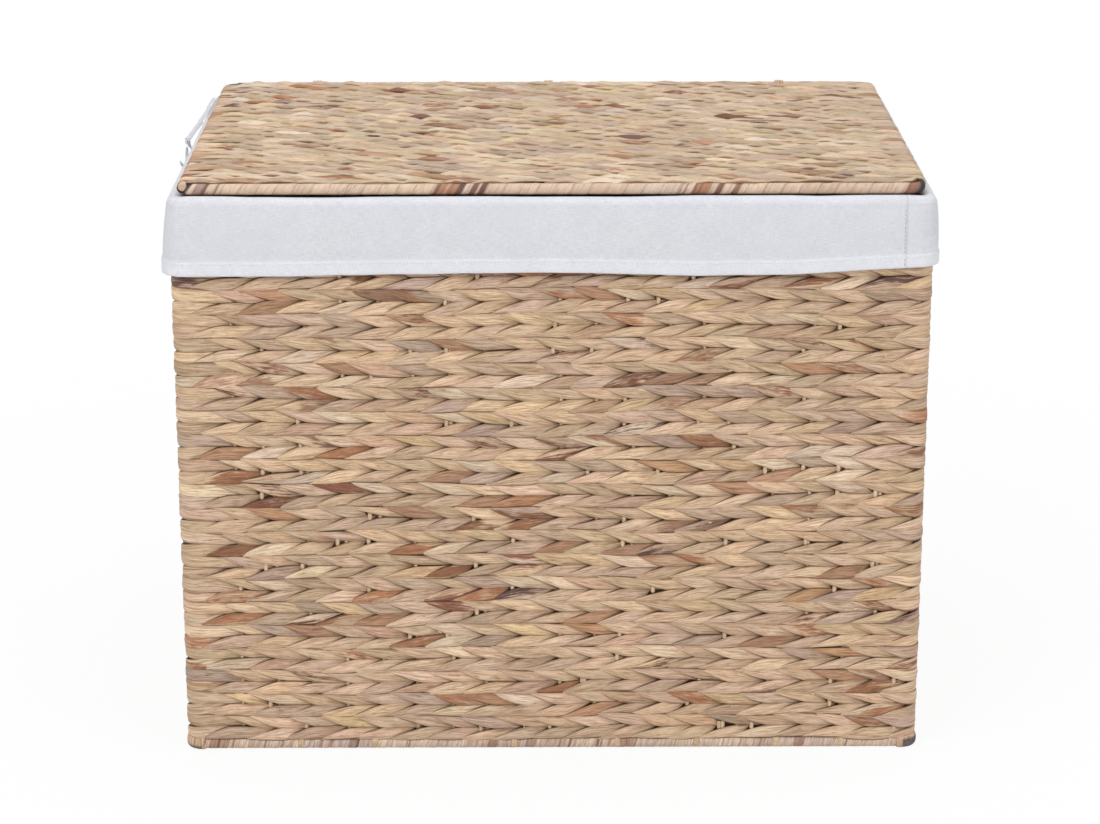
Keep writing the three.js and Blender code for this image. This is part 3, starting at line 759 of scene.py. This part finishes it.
def wound(ring, name, ends, pitch, brown=0.06, stripes=(), material=BOUND, joint_shade=1.0, tip=BINDING_TINTS[3] * 0.6,
          tone=PLAIN):
    """A strip wound round one side of a ring: ends says how far it goes into the two bends, joint_shade how much
    painted shade darkens its joints, tip what colour its core has at the ends, and stripes where it changes colour."""
    loop, side = ring.loop, SIDES.index(name)
    builder = Builder()
    first = loop.corners[side] + loop.half_bend - ends[0]
    last = loop.corners[side + 1] - loop.half_bend + ends[1]
    turns = round((last - first) / pitch)
    step = (last - first) / turns
    phase = np.linspace(0, 2 * np.pi * (turns - 1.1), STRIP_STEPS * turns)[:, None]
    along = first + 0.55 * step + (last - first - 1.1 * step) * phase / phase[-1]
    along = along + 0.8 * np.sin(along / 23 + uniform(0, 6))
    swell = 1 + 0.012 * np.sin(phase * 0.37 + uniform(0, 6))
    lap = STRIP_HALF * step * STRIP[:, 0]
    radius = ring.binding_r * STRIP[:, 1] * swell
    points = ring_place(ring, np.clip(along + lap, first, last), -radius * np.cos(phase), radius * np.sin(phase))
    turn = (phase[:, 0] / (2 * np.pi)).astype(int)
    shades = BINDING_TINTS[rng.integers(0, len(BINDING_TINTS), turns)][np.cumsum(rng.random(turns) < 0.3) % turns]
    shades = shades * uniform(0.93, 1.05, (turns, 1))
    shades = np.where(rng.random((turns, 1)) < brown, shades * [0.66, 0.55, 0.50], shades)
    across = first + (turn[:, None] + 0.8) * step + lap
    across -= (loop.corners[side] + loop.corners[side + 1]) / 2
    tint = shades[turn][:, None, :] * np.ones((len(STRIP), 1))
    for low, high, colour in stripes:
        tint = np.where(((across > low) & (across < high))[..., None], colour, tint)
    # Painted shade on the part of each turn that laps under the next and at the joints between turns, scaled by the
    # joint factor
    tint = tint * (1 - joint_shade * (1 - STRIP_SHADE[:, None])) * np.array(tone)
    builder.add(points, ring_faces(len(phase), len(STRIP)), tint.reshape(-1, 3), grid(phase * BINDING_R, lap, 3.0))
    core = np.r_[np.linspace(first + 0.3, first + ends[0] + 0.5, 9), np.linspace(last - ends[1] - 0.5, last - 0.3, 9)]
    rounded = np.interp(np.arange(len(core)), [0, 1, 2, 15, 16, 17], [0.55, 0.82, 0.9, 0.9, 0.82, 0.55])
    tube(builder, ring_place(ring, core), ring.binding_r * rounded, 16, tip)
    builder.piece(f"{ring.part}_wrap_{name}", ring.body, "bound_strand", [material], [f"{ring.part}_binding_{name}"])


LINE_BROWN = np.array((0.32, 0.18, 0.11))
for side, name in enumerate(SIDES):
    half = (WALL.corners[side + 1] - WALL.corners[side]) / 2
    spots = half * np.r_[uniform(-1, 1, 18), uniform(-0.95, -0.55, 8)]
    lines = [(spot, spot + uniform(1.0, 2.8), LINE_BROWN * uniform(0.6, 1.7)) for spot in spots]
    wound(BASE_ROD, name, ends=(6.4, 6.4), pitch=9.0, brown=0.1, stripes=lines, material=ROUGH_BOUND,
          tone=(1.0, 1.04, 1.12))
    wound(TOP_ROD, name, ends=(2.0, 2.0), pitch=12.0)

# Stripes along the lid's front edge, from its middle
DARK_TIP = (0.045, 0.040, 0.043)
FAWN, RUST, UMBER, SEPIA = (0.40, 0.26, 0.18), (0.42, 0.22, 0.13), (0.22, 0.11, 0.085), (0.17, 0.085, 0.07)
LID_STRIPES = [
    (-322, -312.3, DARK_TIP), (-307.5, -300.5, (0.40, 0.28, 0.25)), (-300, -297.5, (0.23, 0.13, 0.10)),
    (-289.5, -286.5, (0.25, 0.14, 0.10)), (-104, -102.5, FAWN), (-100.5, -81.5, RUST),
    (-100.5, -97.5, (0.26, 0.13, 0.09)), (-92, -90, (0.55, 0.34, 0.21)), (-81.5, -76, SEPIA), (-71, -65, UMBER),
    (-63.5, -58.5, SEPIA), (109, 110.5, FAWN), (114, 115, (0.36, 0.22, 0.15)), (120, 123, UMBER), (123, 135, RUST),
    (127, 129, (0.28, 0.12, 0.085)), (142, 147.5, (0.20, 0.10, 0.08)), (155.5, 161, (0.30, 0.16, 0.11)),
    (305.5, 313.8, (0.27, 0.14, 0.10)), (308.5, 310, (0.36, 0.18, 0.12)), (313.8, 330, DARK_TIP)]
wound(LID_FRONT, "front", ends=(9.0, 17.5), pitch=15.0, brown=0.0, stripes=LID_STRIPES, joint_shade=0.55, tip=DARK_TIP)
wound(LID_ROD, "rear", ends=(-6.0, -6.0), pitch=15.0)


# Cane ends turned round the base rod
FRONT_LASHINGS = (-227, -160, -34, 59, 131, 203, 262)


def base_lashings():
    builder = Builder()
    rear = np.arange(-255, 270, 73.0) + uniform(-9, 9, 8)
    left, right = (np.arange(-165, 170, 66.0) + uniform(-8, 8, 6) for _ in range(2))
    angle = np.radians(np.linspace(100, 225, 13))
    radius = np.interp(angle, np.radians([100, 190, 225]), [6.0, 6.0, 5.0])
    reach = np.r_[3.2, -radius * np.cos(angle)]
    height = BASE_RING_Z + np.r_[11.5, radius * np.sin(angle)]
    for axis, sign, places in ((1, -1, FRONT_LASHINGS), (1, 1, rear), (0, -1, left), (0, 1, right)):
        ring = (RING_X, RING_Y)[axis]
        for place in places:
            path, normals = np.zeros((2, len(reach), 3))
            path[:, 1 - axis] = place + np.linspace(-0.8, 0.8, len(reach)) * uniform(-1, 1)
            path[:, axis] = sign * (ring + reach)
            path[:, 2] = height
            normals[:, axis] = path[:, axis] - sign * ring
            normals[:, 2] = height - BASE_RING_Z
            tube(builder, path, 2.7, 10, PALE_CANE * uniform(0.85, 1.05), flat=0.2, normals=normals)
    builder.piece("base_lashings", "basket", "lashing", [CANE])


base_lashings()

# Strand ends drawn down over the corners of the base rod, with dark tips
CORNER_SECTION = np.array([(2.5, 15.0), (4.2, 12.6), (5.7, 10.4), (6.5, 8.0), (6.7, 5.2), (6.4, 2.6), (5.4, 0.9),
                           (4.2, 0.3), (3.6, 0.9), (4.6, 2.2), (5.75, 4.6), (5.75, 6.6), (4.6, 9.4), (3.4, 11.6),
                           (1.8, 14.6)])[::-1]
CORNER_TIPS, CORNER_TINTS = (3.5, 9.0, 3.5, 3.5), (1, 4, 0, 2)


def corner_strips():
    builder = Builder()
    reach, height = CORNER_SECTION.T
    along = np.linspace(-10.5, 9.5, 17)[:, None]
    edge = np.interp(along, [-10.5, -8.5, 7.5, 9.5], [0.91, 1.0, 1.0, 0.91])
    for corner, (tip, tint) in enumerate(zip(CORNER_TIPS, CORNER_TINTS)):
        dark = (height < tip) & (np.abs(along) < 6.2)
        mottled = np.array((0.13, 0.105, 0.11)) * uniform(0.6, 1.5, (len(along), len(height), 1))
        colour = np.where(dark[..., None], mottled, STRAND_TINTS[tint])
        points = wall_place(WALL.corners[corner] + along, height, edge * reach)
        fibre = grid(height, along, 7.0 + corner)
        builder.add(points, ring_faces(len(along), len(reach)), colour.reshape(-1, 3), fibre)
    builder.piece("base_corner_strands", "basket", "strand", [STRAND])


corner_strips()

# Lashed loops of the hinge
half_turn = np.radians(np.linspace(0, 180, 13))
for place, x in zip(("left", "middle", "right"), LOOP_X):
    builder = Builder()
    for offset in np.linspace(-3.8, 3.8, 7):
        slack = uniform(-0.04, 0.08)
        high, low = LID_LOOP_R + slack, LOOP_R + slack
        y = np.r_[high * np.cos(half_turn), -low * np.cos(half_turn)]
        z = np.r_[LID_Z + high * np.sin(half_turn), TOP_RING_Z - low * np.sin(half_turn)]
        lean = 0.25 * np.sin(np.linspace(0, 2 * np.pi, len(y)) + uniform(0, 6))
        path = grid(x + offset + lean, HINGE_Y + y, z)
        tube(builder, path, 0.62, 8, STRAND_TINTS[0] * uniform(0.85, 1.05), closed=True)
    builder.piece(f"hinge_lashing_{place}", "basket", "lashing", [CANE], [f"hinge_loop_{place}"])

# Steel rods
for ring in (BASE_ROD, TOP_ROD, LID_ROD):
    builder = Builder()
    tube(builder, ring_place(ring, ring.loop.s[:-1:2]), ROD_R, 16, closed=True)
    builder.piece(f"{ring.part}_rod", ring.body, "steel", [STEEL], [f"{ring.part}_ring"])
for name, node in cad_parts.items():
    if name.startswith("corner_post") or "cross_rod" in name:
        node.data.materials.clear()
        node.data.materials.append(STEEL)


# Cotton cuff, turned over the rim
def shell(surface, kept, thickness, seed, shade=1.0):
    """A closed cloth from a grid of points, thickened along its own normals."""
    du = np.roll(surface, -1, 0) - np.roll(surface, 1, 0)
    normal = np.cross(du, np.gradient(surface, axis=1))
    normal *= thickness / 2 / np.linalg.norm(normal, axis=2)[..., None]
    around = np.cumsum(np.linalg.norm(np.diff(surface, axis=0, prepend=surface[:1]), axis=2)[:, :1], 0)
    gap = np.linalg.norm(np.diff(surface, axis=1, prepend=surface[:, :1]), axis=2)
    fibre = grid(around, np.cumsum(gap, 1), seed)
    builder = Builder()
    points = np.stack([surface + normal, surface - normal])
    tint = np.broadcast_to(shade, surface.shape[:2])[None, ..., None] * np.ones((2, 1, 1, 3))
    builder.add(points, shell_faces(kept), tint.reshape(-1, 3), np.stack([fibre, fibre]))
    return builder


# The cuff's section: up inside the rim, over it and down outside, with the hem on its last part
CUFF_R, CUFF_DROP, CUFF_STATIONS = 7.2, 57, 520
CUFF_INSIDE = [(-CUFF_R, -24.0 + 3.0 * k) for k in range(8)]
CUFF_OVER = [(-CUFF_R * math.cos(a), CUFF_R * math.sin(a)) for a in np.radians(np.linspace(0, 180, 15))]
CUFF_HEAD = np.array(CUFF_INSIDE + CUFF_OVER)
CUFF_FALL = np.r_[np.linspace(0.03, 0.76, 16), 0.785, 0.797, 0.81, 0.83, 0.88, 0.93, 0.965, 0.985, 1.0]
HEM_TOP, HEM_STITCH = [0.78, 0.80], 0.83
SEAM_S = WALL.corners[1] / 2 + 305
SLIT_HALF, SLIT_LOW = LOOP_HALF + 0.4, -8.4
# How far the hem sags along the front, and where the cuff rises towards the lid there
FRONT_SAG = ([0, 0.12, 0.35, 0.5, 0.70, 0.82, 0.94, 1.0], [2.2, 2.4, 0.2, -1.2, 2.4, 1.2, -3.2, -5.2])
FRONT_LIFT = ([0, 12, 40, 64, 98, 149, 226, 300, 379, 413, 448, 530, 552, 575, 630, 652],
              [0.4, 1.1, 1.0, 0.2, 0.1, 0.15, 0.6, 0.55, 0.2, 0.35, 1.2, 1.2, 0.8, 1.25, 1.2, 0])


def cuff_drop(s):
    """Depth of the hem's edge below the rim: read off the front, gently waved elsewhere."""
    front = s / WALL.corners[1]
    first, last = FRONT_SAG[1][0], FRONT_SAG[1][-1]
    other = 2.2 * np.sin(s / 61 + 1.0) + 1.4 * np.sin(s / 27 + 0.4)
    begin, end = np.clip((front - 1.0) / 0.12, 0, 1), np.clip((WALL.length - s) / 60, 0, 1)
    other = begin * end * other + last * (1 - begin) + first * (1 - end)
    return CUFF_DROP + np.where(front <= 1, np.interp(front, *FRONT_SAG), other)


def cuff_surface(s):
    t, head = CUFF_FALL, len(CUFF_HEAD)
    fall = np.maximum(t - 0.05, 0)
    hang = CUFF_R + 3.0 * (1 - np.exp(-t * 2.6))
    hem = np.interp(t, HEM_TOP, [0, 0.9]) - np.interp(t, [0.965, 1.0], [0, 0.5])
    wave = (0.75 * np.sin(s / 41 + 0.3) + 0.5 * np.sin(s / 17.3 + 2) + 0.45 * np.sin(s / 96 + 4))[:, None] * fall
    ripple = 0.32 * np.sin(s[:, None] / 9.1 + 3 * t) * fall * (1 + np.sin(s / 140))[:, None]
    corner = bell(np.minimum(s, WALL.length - s), 26.0)[:, None]
    seam = 0.7 / (1 + np.exp(-(s - SEAM_S - 1.2) / 0.35)) * np.exp(-np.maximum(s - SEAM_S - 2, 0) / 9)
    seam -= 0.5 * bell(s - SEAM_S, 1.1)
    outside = hang + hem + wave + ripple + 1.6 * corner * fall + seam[:, None] * (1 - 0.4 * t)
    reach, height = np.zeros((2, len(s), head + len(t)))
    reach[:, :head], height[:, :head] = CUFF_HEAD.T
    reach[:, head:], height[:, head:] = outside, -t * cuff_drop(s)[:, None]
    arc = slice(len(CUFF_INSIDE), head)
    lift = 0.4 * np.minimum(0.5 * np.sin(s / 33 + 1) + 0.35 * np.sin(s / 14 + 2), 0.3)
    lift = (lift + np.interp(s, *FRONT_LIFT))[:, None]
    height[:, arc] += lift * np.maximum(height[:, arc], 0) / CUFF_R
    return grid(*WALL.at(s[:, None], reach), TOP_RING_Z + height)


def add_stitches(builder, path, outward, pitch, size, tint):
    """Short stitches along a path that lies on the cloth."""
    run = run_along(path)
    spots = np.arange(0.5, run[-1] - size, pitch)

    def along(places, line):
        return grid(*(np.interp(places, run, part) for part in line.T))

    for point, tip, away in zip(along(spots, path), along(spots + size, path), along(spots, outward)):
        stitch = np.stack([point + away * 0.35, (point + tip) / 2 + away * 0.72, tip + away * 0.35])
        tube(builder, stitch, 0.28, 5, tint)


def stitch_piece(s, surface, hem_line):
    """Stitches along the top of the hem and down the side seam."""
    builder = Builder()
    angle = np.interp(s, WALL.s, WALL.angle)
    outward = grid(np.cos(angle), np.sin(angle), 0)
    hem = np.concatenate([surface[:, hem_line], surface[:1, hem_line]])
    outward = np.concatenate([outward, outward[:1]])
    add_stitches(builder, hem, outward, pitch=3.4, size=1.1, tint=(0.93, 0.93, 0.94))
    column = surface[np.argmin(np.abs(s - SEAM_S + 1.6)), len(CUFF_HEAD):]
    forward = np.broadcast_to([0.0, -1.0, 0.0], column.shape)
    add_stitches(builder, column, forward, pitch=3.6, size=2.0, tint=(0.60, 0.60, 0.62))
    return builder.piece("cuff_stitches", "basket", "cotton", [TAPE])


def cuff_piece():
    s = np.linspace(0, WALL.length, CUFF_STATIONS + 1)[:-1]
    rear = (WALL.corners[2] + WALL.corners[3]) / 2
    for border in [rear - x + side * SLIT_HALF for x in LOOP_X for side in (-1, 1)]:
        s[np.argmin(np.abs(s - border))] = border
    s = np.unique(np.r_[s, SEAM_S + np.linspace(-4, 6, 21)])
    surface = cuff_surface(s)
    middle = s + np.diff(s, append=WALL.length) / 2
    in_slit = np.any([np.abs(middle - (rear - x)) < SLIT_HALF for x in LOOP_X], axis=0)
    high = (surface[:, :-1, 2] + surface[:, 1:, 2]) / 2 - TOP_RING_Z > SLIT_LOW
    shade = np.r_[np.full(len(CUFF_HEAD), 0.97), np.interp(CUFF_FALL, HEM_TOP, [0.975, 1.075])]
    shade = shade * (1 - 0.16 * bell(s - SEAM_S, 0.9))[:, None]
    builder = shell(surface, ~(in_slit[:, None] & high), thickness=1.1, seed=1.0, shade=shade)
    cuff = builder.piece("liner_cuff_cloth", "basket", "cotton", [COTTON], ["liner_cuff"])
    hem_line = len(CUFF_HEAD) + int(np.argmin(np.abs(CUFF_FALL - HEM_STITCH)))
    stitches = stitch_piece(s, surface, hem_line)


cuff_piece()


# Cotton bag inside the walls
def bag_piece():
    inset, stations, floor_z, top_z = 7.2, 420, 12.4, 479.5
    loop = Loop(RING_X - inset, RING_Y - inset, BEND - inset + 6)
    s = np.arange(0, loop.length, loop.length / stations)
    depth = np.r_[np.linspace(0, 0.94, 30), 0.97, 0.99, 1.0]
    phase = s / loop.length * 2 * np.pi
    folds = (np.sin(23 * phase + 1.3 * np.sin(3 * phase)) + 0.6 * np.sin(41 * phase + 2 * np.sin(5 * phase) + 1)
             + 0.5 * np.sin(11 * phase + 0.5))
    folds = np.clip(folds, -0.4, None) + 0.4
    columns = []
    for d in depth:
        amount = 1.0 + 6.5 * math.sin(math.pi * min(d * 1.05, 1)) ** 1.3
        drift = 0.5 * np.sin(7 * phase + 5 * d) + 0.5
        tuck = amount * folds * (0.35 + 0.65 * drift) * 0.55 + 10 * max(0, d - 0.93) / 0.07 * 0.35
        columns.append(grid(*loop.at(s, -tuck), top_z + (floor_z - top_z) * d))
    rim = columns[-1]
    centre = grid(np.clip(rim[:, 0], -200, 200) * 0.999, 0, rim[:, 2])
    for scale in np.linspace(0.965, 0.0, 22):
        spot = centre + (rim - centre) * max(scale, 0.004)
        ruck = 2.4 * np.sin(spot[:, 0] / 37 + 1.5 * np.sin(spot[:, 1] / 53)) * np.sin(spot[:, 1] / 45 + 0.7)
        spot[:, 2] = floor_z + np.clip(ruck, 0, None) * min(1, (1 - scale) * 4)
        columns.append(spot)
    surface = np.stack(columns, 1)
    builder = shell(surface, np.ones((len(s), len(columns) - 1), bool), thickness=0.9, seed=2.0)
    bag = builder.piece("liner_bag_cloth", "basket", "cotton", [COTTON], ["liner_bag"])


bag_piece()


# Cotton tie at the left of the cuff
def smooth_path(points, count):
    """A curve through the points."""
    points = np.asarray(points, float)
    padded = np.concatenate([[2 * points[0] - points[1]], points, [2 * points[-1] - points[-2]]])
    t = np.linspace(0, len(points) - 1, count)
    i = np.minimum(t.astype(int), len(points) - 2)
    f = (t - i)[:, None]
    p0, p1, p2, p3 = (padded[i + k] for k in range(4))
    curve = 2 * p1 + (p2 - p0) * f + (2 * p0 - 5 * p1 + 4 * p2 - p3) * f * f + (3 * p1 - p0 - 3 * p2 + p3) * f ** 3
    return 0.5 * curve


# Routes of the tape and of its tails, from the rim's rear left corner
TAPE_ROUTE = [(-6.5, -28, 8.4), (-6.8, -39, 8.3), (-7.2, -52, 8.1), (-7.1, -66, 8), (-7, -80, 7.9), (-7.6, -105, 7.6),
              (-9.6, -123, 6.6), (-8.2, -133, 7), (-10.4, -155, 6.2), (-12.8, -178, 4.4), (-13.7, -192.2, 3.6)]
KNOT = np.array([-14, -198.5, 3.4])
FRONT_TAIL = [(-14.6, -200.5, -2.2), (-14.8, -202, -8), (-14.4, -204.5, -14), (-14.6, -210, -17.2),
              (-15.6, -218, -16.6), (-17, -225, -13.6), (-17.9, -230, -10.6)]
REAR_TAIL = [(-13.8, -194.7, -0.8), (-12.7, -187, -4.6), (-12.6, -180, -14), (-13.8, -176, -26), (-14.4, -174, -38)]


def knot_piece():
    builder = Builder()
    t = np.linspace(0, 2 * np.pi, 97)[:-1]
    ring = 2.5 + 1.15 * np.cos(3 * t)
    turned = grid(1.75 * np.sin(3 * t), ring * np.cos(2 * t), ring * np.sin(2 * t)) * 0.8
    tube(builder, TIE_CORNER + KNOT + turned, 1.3, 10, closed=True, flat=0.75, normals=unit(turned))
    return builder.piece("tie_knot", "basket", "cotton", [TAPE], ["left_tie_knot"])


knot = knot_piece()


def tape_piece(name, route, twist, roll):
    path = smooth_path(route, 46) + TIE_CORNER
    outward = unit((path - TIE_CORNER) * [1, 0, 1])
    wobble = np.radians(twist * np.sin(np.linspace(0, 5, len(path)) + 0.5) - np.linspace(*roll, len(path)))
    ahead = unit(np.gradient(path, axis=0))
    normals = outward * np.cos(wobble)[:, None] + np.cross(ahead, outward) * np.sin(wobble)[:, None]
    builder = Builder()
    tube(builder, path, TAPE_WIDTH / 2, 12, (0.95, 0.95, 0.96), flat=0.26, normals=normals)
    piece = builder.piece(name, "basket", "cotton", [TAPE], [f"left_{name}"])
    return piece, path * MM, run_along(path)[-1] * MM


for name, route, twist, roll, far_end in (
        ("tie_tape", TAPE_ROUTE, 16, (20, 75), "knot"),
        ("tie_tail_front", FRONT_TAIL, 25, (0, 0), "bare"),
        ("tie_tail_rear", REAR_TAIL, 12, (0, 0), "bare")):
    piece, path, length = tape_piece(name, route, twist, roll)


# Floor, backdrop and light
WHITE = (1, 1, 1, 1)


def floor_material():
    """Keeps soft shadows near the basket and looks white farther out."""
    shader = Shader("white_floor", Base_Color=(0.9, 0.9, 0.9, 1), Roughness=0.9, Specular_IOR_Level=0.1)
    rays = shader.tree.nodes.new("ShaderNodeLightPath").outputs
    mirrored = shader.math("MAXIMUM", rays["Is Glossy Ray"], rays["Is Transmission Ray"])
    seen = shader.math("MAXIMUM", rays["Is Camera Ray"], mirrored)
    away = shader.node("VectorMath", "Value", {0: shader.place()}, operation="LENGTH")
    share = shader.math("MULTIPLY", seen, shader.span(away, 0.45, 1.3, 0.91, 1.0))
    glow = shader.node("Emission", 0, {"Color": WHITE})
    surface = shader.node("MixShader", 0, {0: share, 1: shader.bsdf.outputs[0], 2: glow})
    feed(shader.tree, shader.tree.nodes["Material Output"].inputs["Surface"], surface)
    return shader.material


FLOOR_HALF = 9
floor_mesh = bpy.data.meshes.new("floor")
floor_mesh.from_pydata([(x * FLOOR_HALF, y * FLOOR_HALF, 0) for x, y in ((-1, -1), (1, -1), (1, 1), (-1, 1))],
                       [], [(0, 1, 2, 3)])
floor_mesh.materials.append(floor_material())
floor = bpy.data.objects.new("floor", floor_mesh)
floor.location.z = -0.0004
scene.collection.objects.link(floor)
floor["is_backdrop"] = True

AMBIENT = 0.52
world = bpy.data.worlds.new("studio")
scene.world = world
world.use_nodes = True
tree = world.node_tree
rays = tree.nodes.new("ShaderNodeLightPath").outputs
seen = add_node(tree, "Math", 0, {0: rays["Is Camera Ray"], 1: rays["Is Transmission Ray"]}, operation="MAXIMUM")
level = add_node(tree, "MapRange", "Result", {"Value": seen, "To Min": AMBIENT, "To Max": 1.0})
for socket, value in (("Strength", level), ("Color", WHITE)):
    feed(tree, tree.nodes["Background"].inputs[socket], value)


def area_light(name, place, target, size, power):
    data = bpy.data.lights.new(name, "AREA")
    data.shape = "RECTANGLE"
    data.size, data.size_y = size
    data.energy = power
    light = bpy.data.objects.new(name, data)
    scene.collection.objects.link(light)
    light.location = place
    x, y, z = np.subtract(target, place)
    light.rotation_euler = (math.atan2(math.hypot(x, y), -z), 0, math.atan2(-x, y))
    light.visible_camera = False


area_light("key", (-1.5, -1.9, 2.6), (0, 0, 0.3), size=(1.8, 1.8), power=42)
area_light("fill", (1.9, -2.1, 1.7), (0, 0, 0.3), size=(2.0, 1.6), power=20)
area_light("top", (0.2, 0.3, 2.8), (0, 0, 0.4), size=(2.2, 2.0), power=26)

low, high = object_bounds()
